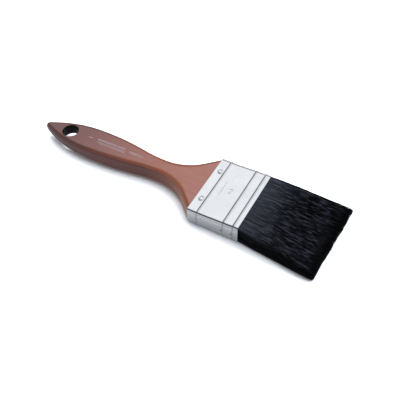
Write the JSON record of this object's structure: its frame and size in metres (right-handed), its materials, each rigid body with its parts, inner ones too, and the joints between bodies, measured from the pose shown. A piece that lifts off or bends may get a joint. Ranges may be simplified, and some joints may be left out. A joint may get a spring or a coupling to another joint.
{
  "type": "flat paint brush",
  "caption": "Flat hand paint brush: a shaped lacquered wooden handle with a hanging hole, a beaded metal ferrule and a springy, flared pack of black bristles.",
  "frame": {"origin": "on the surface that the brush rests on, under the middle of its length and width", "axes": "+X from the tail of the handle to the bristle tips, +Y across the width, +Z through the thickness, towards the front face"},
  "size_m": [0.2255, 0.062, 0.0147],
  "materials": {
    "lacquered_wood": "satin lacquer",
    "black_liner": "gloss",
    "tinned_sheet": "satin",
    "nail_steel": "satin",
    "set_resin": "gloss",
    "plain_wood": "matte",
    "bristle": "satin"
  },
  "bodies": {
    "root": {"handle": "lacquered_wood", "hang_hole_sleeve": "black_liner", "ferrule": "tinned_sheet", "nail_front_left": "nail_steel", "nail_front_right": "nail_steel", "nail_rear_left": "nail_steel", "nail_rear_right": "nail_steel", "resin_heel": "set_resin", "spacer_plug": "plain_wood", "bristle_heel": "bristle"},
    "bristles": {"bristle_tuft": "bristle"}
  },
  "joints": [
    {"name": "bristle_flex", "type": "hinge", "parent": "root", "child": "bristles", "pos_m": [0.06255, 0, 0.00737], "axis": [0, 1, 0], "range_deg": [-35, 35], "stiffness_Nm_per_rad": 0.45}
  ]
}
